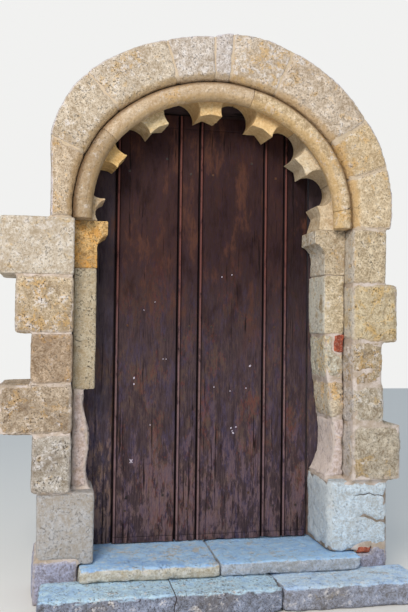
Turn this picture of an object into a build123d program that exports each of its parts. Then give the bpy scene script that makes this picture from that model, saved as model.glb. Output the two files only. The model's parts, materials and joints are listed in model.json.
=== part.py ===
from build123d import *
from math import atan2, cos, degrees, hypot, radians, sin, sqrt, tan
import os

os.makedirs("parts", exist_ok=True)

# A stone doorway with a cusped arch and its boarded door. Millimetres, +Z up.
# The ground is Z 0, the outer stones face -Y at Y 0 and the way through is centred on X 0.

# Levels above the ground
lower_step_height = 128
threshold_height = 203
plinth_foot_left = 235
plinth_foot_right = 230
springing_height = 2055

# Depths, measured inwards from the face of the outer stones
inner_order_y = 124
arch_back_y = 375
leaf_y = 383
post_y = 409
plinth_y = 25
step_back_y = 470

# The way through and the two orders of stone beside it
jamb_half_width = 660
inner_order_width = 127
impost_reach = 58
impost_height = 262
impost_band_height = 78
cavetto_height = 96
arris_radius = 10
worn_arris_radius = 24

# The arch line, struck from two side centres and a crown centre
arch_widening = 15
side_centre_x = 108
side_centre_rise = 70
side_arc_angle = 48
voussoir_arris = 28

# Stones of the outer ring: the angle of each joint, how far the ring reaches out there,
# and how far the back of the stone that starts there bulges past an even curve
voussoir_joints = (
    (0, 218, 4), (20, 246, 2), (36, 254, 4), (67, 276, 6), (86, 272, 0),
    (92, 246, 0), (107, 242, 6), (133, 260, 12), (155, 205, -34), (180, 118, 0),
)

# The roll moulding in the nook between the two orders
roll_radius = 55
roll_joints = (0, 8, 75, 143, 180)

# The cusped order: seven cusps with a round lobe between each two.
# The shares are of the arch's half span, so the cusps keep their shape in a wider arch.
cusp_angles = (8, 35, 64, 93, 121, 149, 171)
lobe_radius_share = 0.13
lobe_centre_share = 0.842
cusp_end_share = 0.778
cusp_rise_share = 0.013
tail_half_width_share = 0.082
tail_front_share = 0.016
tail_back_share = 0.038
tail_spread = 1.5
worn_foot_radius_share = 0.095
worn_foot_x_share = -0.746
worn_foot_rise_share = 0.0585

# Bed joints of the jambs and how wide each outer stone is
left_beds = (587, 896, 1167, 1434, 1743, springing_height)
left_widths = (206, 385, 221, 307, 393)
right_beds = (607, 930, 1150, 1399, 1734, springing_height)
right_widths = (308, 201, 194, 285, 210)
inner_left_beds = (587, 1124, springing_height - impost_height)
inner_right_beds = (607, 951, 1178, 1442, springing_height - impost_height)

# What share of their width time has eaten from the inner stones, from each one's foot to its top
left_bites = ((0.13, 0.33, 0.24, 0.27, 0.47, 0.44), (0, 0))
right_bites = ((0, 0.43, 0.49, 0.38), (0.38, 0.27, 0.17), (0.13, 0.08, 0.03), (0, 0))

# Plinths, base stones and steps. Their widths count from the inner face of the jambs.
plinth_left_width = 305
plinth_right_width = 360
plinth_corner = 66
upper_step_left_lap = 85
upper_step_right_lap = 167
upper_step_y = -60
upper_step_joint = 15
lower_step_left_lap = 290
lower_step_right_lap = 435
lower_step_y = -281
lower_step_joint = 300
nosing = 9
base_left_lap = 325
brick_width_share = 0.52
brick_depth = 92
brick_height = 104
low_brick_width = 92
low_brick_height = 38

# The timber frame, which hides behind the arch stones
post_outer_lap = 26
post_depth = 59
post_rebate_width = 9
post_rebate_depth = 8
leaf_edge_gap = 1
head_height = 96
head_end_lap = 82
head_gap = 5
right_post_gap = 12

# The leaf: five boards with a bead along each left edge, on three ledges
leaf_left_inset = 121
leaf_right_inset = 12
leaf_top_lap = 112
board_parts = (371, 127, 403, 129, 157)
board_gap = 1.5
board_thickness = 50
bead_radius = 10
quirk_width = 4
foot_gap = 6
ledge_shares = (0.0907, 0.485, 0.8793)
ledge_width = 130
ledge_inset = 14
ledge_chamfer = 8
strap_seat_y = 470

# Ironwork
strap_length = 720
strap_width = 46
strap_tip_width = 30
strap_thickness = 6
barrel_radius = 15
barrel_height = 60
pin_radius = 8
pin_clearance = 0.05
pin_from_leaf = 27
collar_height = 9
collar_clearance = 0.3
spike_size = 15
spike_length = 44
nail_size = 6
nail_head = 13
nail_head_height = 2.5
bolt_size = 20
bolt_length = 330
bolt_drop = 226
bolt_travel = 60
bolt_clearance = 0.4
mortise_clearance = 3
bolt_rest_gap = 9
staple_offsets = (70, 262)
staple_width = 16
staple_thickness = 7
bolt_knob_length = 44
bolt_knob_radius = 9
clench_length = 22
clench_thickness = 3
nail_from_centreline = 42
pin_above_barrel = 6

# Points closer than this count as the same place
same_place = 1

# Values worked out from the sizes above
outer_half_width = jamb_half_width + inner_order_width
arch_half_span = outer_half_width + arch_widening
side_radius = arch_half_span - side_centre_x
crown_radius = side_radius + side_centre_x / cos(radians(side_arc_angle))
crown_centre_rise = side_centre_rise - side_centre_x * tan(radians(side_arc_angle))
roll_centre_y = inner_order_y - roll_radius
lobe_radius = lobe_radius_share * arch_half_span
lobe_centre_radius = lobe_centre_share * arch_half_span
cusp_end_radius = cusp_end_share * arch_half_span
cusp_rise = cusp_rise_share * arch_half_span
tail_half_width = tail_half_width_share * arch_half_span
tail_front = tail_front_share * arch_half_span
tail_back = tail_back_share * arch_half_span
worn_foot_radius = worn_foot_radius_share * arch_half_span
worn_foot_x = worn_foot_x_share * arch_half_span
worn_foot_rise = worn_foot_rise_share * arch_half_span
upper_step_left = jamb_half_width + upper_step_left_lap
upper_step_right = jamb_half_width + upper_step_right_lap
plinth_right_reach = jamb_half_width + plinth_right_width
brick_width = brick_width_share * inner_order_width
leaf_top_height = springing_height + arch_half_span - leaf_top_lap
leaf_foot_height = threshold_height + foot_gap
leaf_height = leaf_top_height - leaf_foot_height
leaf_left_x = leaf_left_inset - jamb_half_width
leaf_right_x = jamb_half_width - leaf_right_inset
leaf_width = leaf_right_x - leaf_left_x
board_widths = [part / sum(board_parts) * leaf_width for part in board_parts]
pin_axis_x = leaf_left_x - pin_from_leaf
hinge_heights = [leaf_foot_height + share * leaf_height for share in ledge_shares]
board_back_y = leaf_y + board_thickness
post_back_y = post_y + post_depth
ledge_thickness = strap_seat_y - board_back_y
pin_axis_y = strap_seat_y + barrel_radius
bolt_y = board_back_y + bolt_clearance + bolt_size / 2
bolt_z = hinge_heights[1] - bolt_drop
bolt_tip_x = leaf_right_x - bolt_rest_gap
mortise_size = bolt_size + 2 * mortise_clearance
head_foot_height = leaf_top_height + head_gap


def facade_plane(y):
    """A drawing plane parallel to the facade, seen from the front, at depth y."""
    return Plane.XZ.offset(-y)


def save(piece, label):
    """Name a finished piece and write its file."""
    piece.part.label = label
    export_step(piece.part, "parts/" + label + ".step")


def arch_reach(angle, offset):
    """Distance from the springing centre to the arch line, moved out by offset."""
    ux, uz = cos(radians(angle)), sin(radians(angle))
    stilt = (arch_half_span + offset) / max(abs(ux), 1e-6)
    if stilt * uz <= side_centre_rise:
        return stilt
    centre_x = side_centre_x if ux > 0 else -side_centre_x
    along = ux * centre_x + uz * side_centre_rise
    centre_square = side_centre_x**2 + side_centre_rise**2
    reach = along + sqrt((side_radius + offset) ** 2 - centre_square + along**2)
    turn = degrees(atan2(reach * uz - side_centre_rise, abs(reach * ux) - side_centre_x))
    if turn <= side_arc_angle:
        return reach
    along = uz * crown_centre_rise
    return along + sqrt((crown_radius + offset) ** 2 - crown_centre_rise**2 + along**2)


def arch_point(angle, reach):
    """A point on the facade at this angle and distance from the springing centre."""
    return (reach * cos(radians(angle)), springing_height + reach * sin(radians(angle)))


def arch_curves(offset):
    """The arch line from the right springing to the left one, moved out by offset."""
    half_span = arch_half_span + offset
    side_z = springing_height + side_centre_rise
    crown_z = springing_height + crown_centre_rise
    crown_arc = 180 - 2 * side_arc_angle
    Line((half_span, springing_height), (half_span, side_z))
    CenterArc((side_centre_x, side_z), side_radius + offset, 0, side_arc_angle)
    CenterArc((0, crown_z), crown_radius + offset, side_arc_angle, crown_arc)
    CenterArc((-side_centre_x, side_z), side_radius + offset, 180 - side_arc_angle, side_arc_angle)
    Line((-half_span, side_z), (-half_span, springing_height))


with BuildSketch(facade_plane(0)) as arch_opening:
    with BuildLine():
        arch_curves(0)
        Line((-arch_half_span, springing_height), (arch_half_span, springing_height))
    make_face()


def on_arch_arris(edge):
    """True for the front edges that lie on the arch line."""
    centre = edge.center()
    rise = centre.Z - springing_height
    line_reach = arch_reach(degrees(atan2(rise, centre.X)), 0)
    return abs(centre.Y) < same_place and hypot(centre.X, rise) < line_reach + same_place


# The outer ring of arch stones
for number, (start, end) in enumerate(zip(voussoir_joints, voussoir_joints[1:]), 1):
    middle_angle = (start[0] + end[0]) / 2
    middle_reach = arch_reach(middle_angle, (start[1] + end[1]) / 2 + start[2])
    start_point = arch_point(start[0], arch_reach(start[0], start[1]))
    end_point = arch_point(end[0], arch_reach(end[0], end[1]))
    with BuildPart() as voussoir:
        with BuildSketch(facade_plane(0)):
            with BuildLine():
                Line((0, springing_height), start_point)
                ThreePointArc(start_point, arch_point(middle_angle, middle_reach), end_point)
                Line(end_point, (0, springing_height))
            make_face()
            add(arch_opening.sketch_local, mode=Mode.SUBTRACT)
        extrude(amount=-arch_back_y)
        chamfer(voussoir.edges().filter_by(on_arch_arris), voussoir_arris)
    save(voussoir, f"voussoir_{number}")


def arch_wedge(start_angle, end_angle, start_y, end_y):
    """A wedge of space from the springing centre outwards, between two angles."""
    far = 2 * arch_half_span
    with BuildPart(mode=Mode.PRIVATE) as wedge:
        with BuildSketch(facade_plane(start_y)):
            with BuildLine():
                corners = [arch_point(start_angle, far), arch_point(end_angle, far)]
                Polyline((0, springing_height), *corners, close=True)
            make_face()
        extrude(amount=start_y - end_y)
    return wedge.part


# The roll moulding: a round that fills the nook between the two orders
with BuildPart() as whole_roll:
    with BuildLine(facade_plane(roll_centre_y)) as roll_path:
        arch_curves(-roll_radius)
    with BuildSketch(Plane.XY.offset(springing_height)):
        with Locations((arch_half_span - roll_radius, roll_centre_y)):
            Circle(roll_radius)
            Rectangle(roll_radius, roll_radius, align=(Align.MIN, Align.MIN))
    sweep(path=roll_path.wires()[0])

for number, (start_angle, end_angle) in enumerate(zip(roll_joints, roll_joints[1:]), 1):
    with BuildPart() as roll:
        add(whole_roll.part)
        add(arch_wedge(start_angle, end_angle, 0, inner_order_y), mode=Mode.INTERSECT)
    save(roll, f"roll_{number}")


def swallow_tail(angle):
    """What is cut from a cusp's end: a notch between two corners, deeper towards the back."""
    across = (sin(radians(angle)), 0, -cos(radians(angle)))
    far_x = tail_spread * tail_half_width
    with BuildPart(mode=Mode.PRIVATE) as cutter:
        for y, rise, notch in (
            (inner_order_y - same_place, 0, tail_front),
            (arch_back_y + same_place, cusp_rise, tail_back),
        ):
            x, z = arch_point(angle, cusp_end_radius + rise)
            far_y = notch * (1 - tail_spread)
            with BuildSketch(Plane(origin=(x, y, z), x_dir=across, z_dir=(0, -1, 0))):
                with BuildLine():
                    Polyline(
                        (-far_x, far_y), (0, notch), (far_x, far_y),
                        (far_x, -far_x), (-far_x, -far_x), close=True,
                    )
                make_face()
        loft(ruled=True)
    return cutter.part


# The cusped order: each stone is one cusp with half a lobe on either side
lobe_angles = [(one + two) / 2 for one, two in zip(cusp_angles, cusp_angles[1:])]
cusp_joints = [0, *lobe_angles, 180]
for number, angle in enumerate(cusp_angles, 1):
    is_worn_foot = number == len(cusp_angles)
    with BuildPart() as cusp:
        add(arch_wedge(cusp_joints[number - 1], cusp_joints[number], inner_order_y, arch_back_y))
        with BuildSketch(facade_plane(inner_order_y)):
            add(arch_opening.sketch_local)
            with Locations((0, springing_height)):
                Circle(cusp_end_radius + (cusp_rise if is_worn_foot else -cusp_rise), mode=Mode.SUBTRACT)
            with Locations(*[arch_point(lobe, lobe_centre_radius) for lobe in lobe_angles]):
                Circle(lobe_radius, mode=Mode.SUBTRACT)
            if is_worn_foot:
                with Locations((worn_foot_x, springing_height + worn_foot_rise)):
                    Circle(worn_foot_radius, mode=Mode.SUBTRACT)
        extrude(amount=inner_order_y - arch_back_y, mode=Mode.INTERSECT)
        if not is_worn_foot:
            add(swallow_tail(angle), mode=Mode.SUBTRACT)
    save(cusp, f"cusp_{number}")

# The imposts: a band over a hollow that returns to the jamb
impost_foot = springing_height - impost_height
hollow_top = springing_height - impost_band_height
hollow_foot = hollow_top - cavetto_height
nose_x = jamb_half_width - impost_reach
hollow_middle = (
    nose_x + impost_reach * cos(radians(45)),
    hollow_foot + cavetto_height * sin(radians(45)),
)
with BuildPart() as impost_right:
    with BuildSketch(facade_plane(inner_order_y)) as impost_outline:
        with BuildLine():
            Line((jamb_half_width, hollow_foot), (jamb_half_width, impost_foot))
            Line((jamb_half_width, impost_foot), (outer_half_width, impost_foot))
            Line((outer_half_width, impost_foot), (outer_half_width, springing_height))
            Line((outer_half_width, springing_height), (nose_x, springing_height))
            Line((nose_x, springing_height), (nose_x, hollow_top))
            ThreePointArc((nose_x, hollow_top), hollow_middle, (jamb_half_width, hollow_foot))
        make_face()
        fillet(impost_outline.vertices().group_by(Axis.X)[0].sort_by(Axis.Y)[-1], arris_radius)
    extrude(amount=inner_order_y - arch_back_y)
save(impost_right, "impost_right")

with BuildPart() as impost_left:
    add(mirror(impost_right.part, about=Plane.YZ))
save(impost_left, "impost_left")


def inner_jamb(side, foot, top, bites):
    """A stone of the inner order, eaten back from its inner edge by the listed bites."""
    outer_x = side * outer_half_width
    step = (top - foot) / (len(bites) - 1)
    widths = [(1 - bite) * inner_order_width for bite in bites]
    edge = [(outer_x - side * width, foot + row * step) for row, width in enumerate(widths)]
    with BuildPart() as stone:
        with BuildSketch(facade_plane(inner_order_y)):
            with BuildLine():
                Polyline(edge[-1], (outer_x, top), (outer_x, foot), edge[0])
                if any(bites):
                    Spline(*edge)
                else:
                    Line(edge[0], edge[-1])
            make_face()
        extrude(amount=inner_order_y - post_y)
    return stone


# The inner jambs, from the foot up
for number, bites in enumerate(left_bites, 1):
    inner_left = inner_jamb(-1, inner_left_beds[number - 1], inner_left_beds[number], bites)
    save(inner_left, f"inner_jamb_left_{number}")

brick_x = outer_half_width - brick_width / 2
brick_z = inner_right_beds[3] - brick_height / 2
for number, bites in enumerate(right_bites, 1):
    inner_right = inner_jamb(1, inner_right_beds[number - 1], inner_right_beds[number], bites)
    if number == 3:
        with inner_right:
            with Locations((brick_x, inner_order_y + brick_depth / 2, brick_z)):
                Box(brick_width, brick_depth, brick_height, mode=Mode.SUBTRACT)
    save(inner_right, f"inner_jamb_right_{number}")


def block(left_x, right_x, front_y, back_y, foot, top):
    """A squared stone or timber between the given faces."""
    middle = ((left_x + right_x) / 2, (front_y + back_y) / 2, (foot + top) / 2)
    with Locations(middle):
        Box(right_x - left_x, back_y - front_y, top - foot)


# The outer jambs: long and short stones with eased front arrises, from the foot up
for side, beds, widths, name in (
    (-1, left_beds, left_widths, "left"),
    (1, right_beds, right_widths, "right"),
):
    for number, width in enumerate(widths, 1):
        near_x, far_x = sorted((side * outer_half_width, side * (outer_half_width + width)))
        with BuildPart() as outer_jamb:
            block(near_x, far_x, 0, post_y, beds[number - 1], beds[number])
            front_arrises = outer_jamb.edges().filter_by(Axis.Z).group_by(Axis.Y)[0]
            is_worn = side > 0 and number < len(widths)
            fillet(front_arrises, worn_arris_radius if is_worn else arris_radius)
        save(outer_jamb, f"outer_jamb_{name}_{number}")

# The plinths stand on the base stones and, nearer the door, on the upper step
for side, foot, top, width, step_x, corner, name in (
    (-1, plinth_foot_left, left_beds[0], plinth_left_width, upper_step_left, arris_radius, "left"),
    (1, plinth_foot_right, right_beds[0], plinth_right_width, upper_step_right, plinth_corner, "right"),
):
    reach = jamb_half_width + width
    near_x, far_x = sorted((side * jamb_half_width, side * reach))
    rest_near_x, rest_far_x = sorted((side * step_x, side * reach))
    with BuildPart() as plinth:
        block(near_x, far_x, plinth_y, post_y, threshold_height, top)
        front_arrises = plinth.edges().filter_by(Axis.Z).group_by(Axis.Y)[0]
        inner_arris = front_arrises.sort_by(lambda edge: abs(edge.center().X))[0]
        fillet(inner_arris, corner)
        rest_middle = ((rest_near_x + rest_far_x) / 2, (plinth_y + post_y) / 2)
        with Locations((*rest_middle, (threshold_height + foot) / 2)):
            Box(rest_far_x - rest_near_x, post_y - plinth_y, foot - threshold_height, mode=Mode.SUBTRACT)
    save(plinth, f"plinth_{name}")

low_brick_x = upper_step_right + low_brick_width / 2
low_brick_y = plinth_y + brick_depth / 2
low_brick_z = plinth_foot_right - low_brick_height / 2
base_left_x = -jamb_half_width - base_left_lap
with BuildPart() as base_stones:
    block(base_left_x, -upper_step_left, plinth_y, post_y, 0, plinth_foot_left)
    block(upper_step_right, plinth_right_reach, plinth_y, post_y, 0, plinth_foot_right)
    with Locations((low_brick_x, low_brick_y, low_brick_z)):
        Box(low_brick_width, brick_depth, low_brick_height, mode=Mode.SUBTRACT)
save(base_stones, "base_stones")

with BuildPart() as brick_packing:
    with Locations((brick_x, inner_order_y + brick_depth / 2, brick_z)):
        Box(brick_width, brick_depth, brick_height)
    with Locations((low_brick_x, low_brick_y, low_brick_z)):
        Box(low_brick_width, brick_depth, low_brick_height)
save(brick_packing, "brick_packing")


def step_stone(left_x, right_x, outline):
    """A stone of a step, drawn in section and rounded along its nosing."""
    with BuildPart() as stone:
        with BuildSketch(Plane.YZ.offset(left_x)):
            with BuildLine():
                Polyline(*outline, close=True)
            make_face()
        extrude(amount=right_x - left_x)
        front_edges = stone.edges().filter_by(Axis.X).group_by(Axis.Y)[0]
        fillet(front_edges.sort_by(Axis.Z)[-1], nosing)
    return stone


# The lower step, and the upper step that is rebated over it and carries the door
lower_outline = (
    (lower_step_y, 0), (plinth_y, 0), (plinth_y, lower_step_height), (lower_step_y, lower_step_height),
)
upper_outline = (
    (upper_step_y, lower_step_height), (plinth_y, lower_step_height), (plinth_y, 0),
    (step_back_y, 0), (step_back_y, threshold_height), (upper_step_y, threshold_height),
)
lower_left_x = -jamb_half_width - lower_step_left_lap
lower_right_x = jamb_half_width + lower_step_right_lap
save(step_stone(lower_left_x, lower_step_joint, lower_outline), "lower_step_left")
save(step_stone(lower_step_joint, lower_right_x, lower_outline), "lower_step_right")
save(step_stone(-upper_step_left, upper_step_joint, upper_outline), "upper_step_left")
save(step_stone(upper_step_joint, upper_step_right, upper_outline), "upper_step_right")

# The timber frame: two posts and a head
post_outer_x = arch_half_span - post_outer_lap
left_post_inner_x = leaf_left_x - leaf_edge_gap
right_post_inner_x = leaf_right_x + right_post_gap
right_post_width = post_outer_x - right_post_inner_x
spike_drop = barrel_height / 2 + collar_clearance + collar_height + spike_size / 2
spike_middle_y = (post_back_y - spike_length + pin_axis_y) / 2
spike_reach = pin_axis_y - post_back_y + spike_length
with BuildPart() as post_left:
    block(-post_outer_x, left_post_inner_x, post_y, post_back_y, threshold_height, head_foot_height)
    front_arris = post_left.edges().filter_by(Axis.Z).group_by(Axis.Y)[0].sort_by(Axis.X)[-1]
    chamfer(front_arris, post_rebate_width, post_rebate_depth)
    with Locations(*[(pin_axis_x, spike_middle_y, height - spike_drop) for height in hinge_heights]):
        Box(spike_size, spike_reach, spike_size, mode=Mode.SUBTRACT)
save(post_left, "post_left")

with BuildPart() as post_right:
    block(right_post_inner_x, post_outer_x, post_y, post_back_y, threshold_height, head_foot_height)
    with Locations(((right_post_inner_x + post_outer_x) / 2, bolt_y, bolt_z)):
        Box(right_post_width, mortise_size, mortise_size, mode=Mode.SUBTRACT)
save(post_right, "post_right")

with BuildPart() as head:
    head_end_x = arch_half_span - head_end_lap
    head_top = head_foot_height + head_height
    block(-head_end_x, head_end_x, post_y, post_back_y, head_foot_height, head_top)
save(head, "head")


def board_nails(left_x, width):
    """Where a board is nailed to the ledges: two to a wide board and one to a narrow one."""
    shares = (0.2, 0.8) if width > 2 * ledge_width else (0.56,)
    places = []
    for row, height in enumerate(hinge_heights):
        for column, share in enumerate(shares):
            rise = nail_from_centreline if (row + column) % 2 else -nail_from_centreline
            places.append((left_x + share * width, height + rise))
    return places


# The boards of the leaf
board_lefts = [leaf_left_x + sum(board_widths[:count]) for count in range(len(board_widths))]
nail_places = []
for number, (left_x, width) in enumerate(zip(board_lefts, board_widths), 1):
    places = board_nails(left_x, width)
    nail_places += places
    bead_x = left_x + bead_radius
    bead_right_x = left_x + 2 * bead_radius
    quirk_right_x = bead_right_x + quirk_width
    board_right_x = left_x + width - board_gap
    bead_y = leaf_y + bead_radius
    with BuildPart() as board:
        with BuildSketch(Plane.XY.offset(leaf_foot_height)):
            with BuildLine():
                RadiusArc((left_x, bead_y), (bead_x, leaf_y), bead_radius)
                RadiusArc((bead_x, leaf_y), (bead_right_x, bead_y), bead_radius)
                Polyline((bead_right_x, bead_y), (quirk_right_x, bead_y), (quirk_right_x, leaf_y))
                Polyline((quirk_right_x, leaf_y), (board_right_x, leaf_y), (board_right_x, board_back_y))
                Polyline((board_right_x, board_back_y), (left_x, board_back_y), (left_x, bead_y))
            make_face()
        extrude(amount=leaf_height)
        with Locations(*[(x, leaf_y + board_thickness / 2, z) for x, z in places]):
            Box(nail_size, board_thickness, nail_size, mode=Mode.SUBTRACT)
    save(board, f"board_{number}")

# The ledges across the back of the leaf
with BuildPart() as ledges:
    for height in hinge_heights:
        block(
            leaf_left_x + ledge_inset, leaf_right_x - ledge_inset, board_back_y, strap_seat_y,
            height - ledge_width / 2, height + ledge_width / 2,
        )
    chamfer(ledges.edges().filter_by(Axis.X).group_by(Axis.Y)[-1], ledge_chamfer)
    with Locations(*[(x, board_back_y + ledge_thickness / 2, z) for x, z in nail_places]):
        Box(nail_size, ledge_thickness, nail_size, mode=Mode.SUBTRACT)
save(ledges, "ledges")

# The nails, with square heads in front and their ends clenched over behind
clench_y = strap_seat_y + clench_thickness / 2
with BuildPart() as clench_nails:
    with Locations(*[(x, (leaf_y + strap_seat_y) / 2, z) for x, z in nail_places]):
        Box(nail_size, strap_seat_y - leaf_y, nail_size)
    with Locations(*[(x, leaf_y - nail_head_height / 2, z) for x, z in nail_places]):
        Box(nail_head, nail_head_height, nail_head)
    with Locations(*[(x, clench_y, z) for x, z in nail_places]):
        Box(nail_size, clench_thickness, nail_size)
        with Locations((clench_length / 2 - nail_size / 2, 0, 0)):
            Box(clench_length, clench_thickness, nail_size)
save(clench_nails, "clench_nails")

# The strap hinges: a tapered strap along each ledge and a barrel over the pin
with BuildPart() as strap_hinges:
    for height in hinge_heights:
        with BuildSketch(facade_plane(strap_seat_y)):
            strap_end_x = pin_axis_x + strap_length
            with BuildLine():
                Line((pin_axis_x, height - strap_width / 2), (strap_end_x, height - strap_tip_width / 2))
                ThreePointArc(
                    (strap_end_x, height - strap_tip_width / 2),
                    (strap_end_x + strap_tip_width / 2, height),
                    (strap_end_x, height + strap_tip_width / 2),
                )
                Line((strap_end_x, height + strap_tip_width / 2), (pin_axis_x, height + strap_width / 2))
                Line((pin_axis_x, height + strap_width / 2), (pin_axis_x, height - strap_width / 2))
            make_face()
        extrude(amount=-strap_thickness)
    with Locations(*[(pin_axis_x, pin_axis_y, height) for height in hinge_heights]):
        Cylinder(barrel_radius, barrel_height)
        Cylinder(pin_radius + pin_clearance, barrel_height, mode=Mode.SUBTRACT)
save(strap_hinges, "strap_hinges")

# The pintles: a pin with a collar for each hinge, on a spike driven into the left post
pin_top = barrel_height / 2 + pin_above_barrel
pin_foot = -spike_drop - spike_size / 2
collar_drop = barrel_height / 2 + collar_clearance + collar_height / 2
with BuildPart() as pintles:
    for height in hinge_heights:
        with Locations((pin_axis_x, pin_axis_y, height + (pin_top + pin_foot) / 2)):
            Cylinder(pin_radius, pin_top - pin_foot)
        with Locations((pin_axis_x, pin_axis_y, height - collar_drop)):
            Cylinder(barrel_radius, collar_height)
        with Locations((pin_axis_x, spike_middle_y, height - spike_drop)):
            Box(spike_size, spike_reach, spike_size)
save(pintles, "pintles")

# The sliding bolt, drawn back, and the staples that hold it to the boards.
# Its knob meets the staple nearer the tip when the bolt is shot.
bolt_left_x = bolt_tip_x - bolt_length
staple_xs = [bolt_tip_x - offset for offset in staple_offsets]
knob_x = max(staple_xs) - staple_width / 2 - bolt_knob_radius - bolt_travel
with BuildPart() as bolt:
    with Locations(((bolt_left_x + bolt_tip_x) / 2, bolt_y, bolt_z)):
        Box(bolt_length, bolt_size, bolt_size)
    with BuildSketch(facade_plane(bolt_y + bolt_size / 2)):
        with Locations((knob_x, bolt_z)):
            Circle(bolt_knob_radius)
    extrude(amount=-bolt_knob_length)
    fillet(bolt.faces().sort_by(Axis.Y)[-1].edges(), bolt_knob_radius / 3)
save(bolt, "bolt")

staple_room = bolt_size + 2 * bolt_clearance
staple_reach = staple_room + staple_thickness
with BuildPart() as bolt_staples:
    with Locations(*[(x, board_back_y + staple_reach / 2, bolt_z) for x in staple_xs]):
        Box(staple_width, staple_reach, staple_room + 2 * staple_thickness)
    with Locations(*[(x, board_back_y + staple_room / 2, bolt_z) for x in staple_xs]):
        Box(staple_width, staple_room, staple_room, mode=Mode.SUBTRACT)
save(bolt_staples, "bolt_staples")
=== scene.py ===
# Looks, light and camera for an old boarded door in a carved stone doorway.
# Metres throughout; the doorway faces -Y and stands on Z 0.
import json
import math

import bmesh
import bpy
import numpy as np
from mathutils import Matrix, Vector, noise

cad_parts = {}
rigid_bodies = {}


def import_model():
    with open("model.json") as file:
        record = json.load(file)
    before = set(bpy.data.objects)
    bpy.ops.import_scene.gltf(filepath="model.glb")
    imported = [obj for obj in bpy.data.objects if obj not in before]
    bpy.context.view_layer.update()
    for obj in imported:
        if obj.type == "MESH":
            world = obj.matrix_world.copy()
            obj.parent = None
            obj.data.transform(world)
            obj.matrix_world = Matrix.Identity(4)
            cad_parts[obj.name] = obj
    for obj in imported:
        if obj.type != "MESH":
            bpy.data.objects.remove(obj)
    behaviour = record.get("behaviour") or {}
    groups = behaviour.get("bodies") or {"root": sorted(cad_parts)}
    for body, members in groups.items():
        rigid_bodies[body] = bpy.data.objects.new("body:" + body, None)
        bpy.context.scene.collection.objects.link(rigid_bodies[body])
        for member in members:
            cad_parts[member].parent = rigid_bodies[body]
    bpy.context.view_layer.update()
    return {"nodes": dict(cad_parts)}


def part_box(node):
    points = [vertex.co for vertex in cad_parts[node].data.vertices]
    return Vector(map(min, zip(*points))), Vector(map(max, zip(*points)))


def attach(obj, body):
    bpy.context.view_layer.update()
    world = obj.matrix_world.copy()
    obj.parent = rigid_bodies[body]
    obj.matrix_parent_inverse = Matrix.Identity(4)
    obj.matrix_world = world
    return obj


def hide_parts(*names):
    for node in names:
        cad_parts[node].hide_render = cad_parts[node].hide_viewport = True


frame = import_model()
cadNodes = frame["nodes"]
print("frame loaded:", len(cadNodes), "nodes")


def addNode(tree, kind, settings=None, sockets=None):  # sockets get a plain value or a link
    made = tree.nodes.new(kind)
    for key, value in (settings or {}).items():
        setattr(made, key, value)
    for key, value in (sockets or {}).items():
        if isinstance(value, bpy.types.NodeSocket):
            tree.links.new(value, made.inputs[key])
        else:
            made.inputs[key].default_value = value
    return made


def addObject(name, data):
    made = bpy.data.objects.new(name, data)
    bpy.context.scene.collection.objects.link(made)
    return made


class Wire:  # a value in a shader tree; + - * add Math nodes
    def __init__(self, paint, socket):
        self.paint = paint
        self.socket = socket

    def __add__(self, other):
        return self.paint.maths("ADD", self, other)

    def __sub__(self, other):
        return self.paint.maths("SUBTRACT", self, other)

    def __mul__(self, other):
        return self.paint.maths("MULTIPLY", self, other)

    __radd__ = __add__


class Paint:  # builds one material, node by node
    def __init__(self, name, limits=None):  # limits: where each mark begins, is full, and its share there
        self.limits = limits
        self.material = bpy.data.materials.new(name)
        self.material.use_nodes = True
        self.tree = self.material.node_tree
        self.tree.nodes.clear()

    def node(self, kind, settings=None, sockets=None, out=0):
        plugs = {}
        for key, value in (sockets or {}).items():
            plugs[key] = value.socket if isinstance(value, Wire) else value
        made = addNode(self.tree, kind, settings, plugs)
        return Wire(self, made.outputs[out]) if made.outputs else None

    def place(self, shift=(0, 0, 0), stretch=(1, 1, 1)):
        here = self.node("ShaderNodeTexCoord", out="Object")
        return self.node("ShaderNodeMapping", None, {"Vector": here, "Location": shift, "Scale": stretch})

    def cloud(self, where, scale, detail, rough, warp=0.0):
        return self.node("ShaderNodeTexNoise", None, {
            "Vector": where, "Scale": scale, "Detail": detail, "Roughness": rough, "Distortion": warp,
        })

    def maths(self, operation, first, second=0.0):
        return self.node("ShaderNodeMath", {"operation": operation}, {0: first, 1: second})

    def mask(self, value, key):  # rises from 0 where the mark begins to its share where it is full
        low, high, share = self.limits[key]
        return self.node("ShaderNodeMapRange", {"interpolation_type": "SMOOTHSTEP"}, {
            "Value": value, "From Min": low, "From Max": high, "To Max": share,
        })

    def mix(self, first, second, share):  # the Mix node's colours are inputs 6 and 7 and output 2
        return self.node("ShaderNodeMix", {"data_type": "RGBA"}, {0: share, 6: first, 7: second}, 2)

    def coat(self, under, over, value, key, factor=1.0):
        return self.mix(under, over, self.mask(value, key) * factor)

    def stored(self, name):  # a measure that the mesh carries
        return self.node("ShaderNodeAttribute", {"attribute_name": name}, None, "Fac")

    def height(self):
        here = self.node("ShaderNodeTexCoord", out="Object")
        return self.node("ShaderNodeSeparateXYZ", None, {0: here}, "Z")

    def facing(self, axis):  # 1 where a face looks along this axis, -1 where it looks back
        normal = self.node("ShaderNodeNewGeometry", out="Normal")
        return self.node("ShaderNodeSeparateXYZ", None, {0: normal}, axis)

    def finish(self, colour, rough, height=None, strength=1.0, distance=0.001, metal=0.0, gloss=0.5):
        sockets = {"Base Color": colour, "Roughness": rough, "Metallic": metal, "Specular IOR Level": gloss}
        if height is not None:
            sockets["Normal"] = self.node("ShaderNodeBump", None, {
                "Strength": strength, "Distance": distance, "Height": height,
            })
        shader = self.node("ShaderNodeBsdfPrincipled", None, sockets)
        self.node("ShaderNodeOutputMaterial", None, {"Surface": shader})
        return self.material


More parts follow.
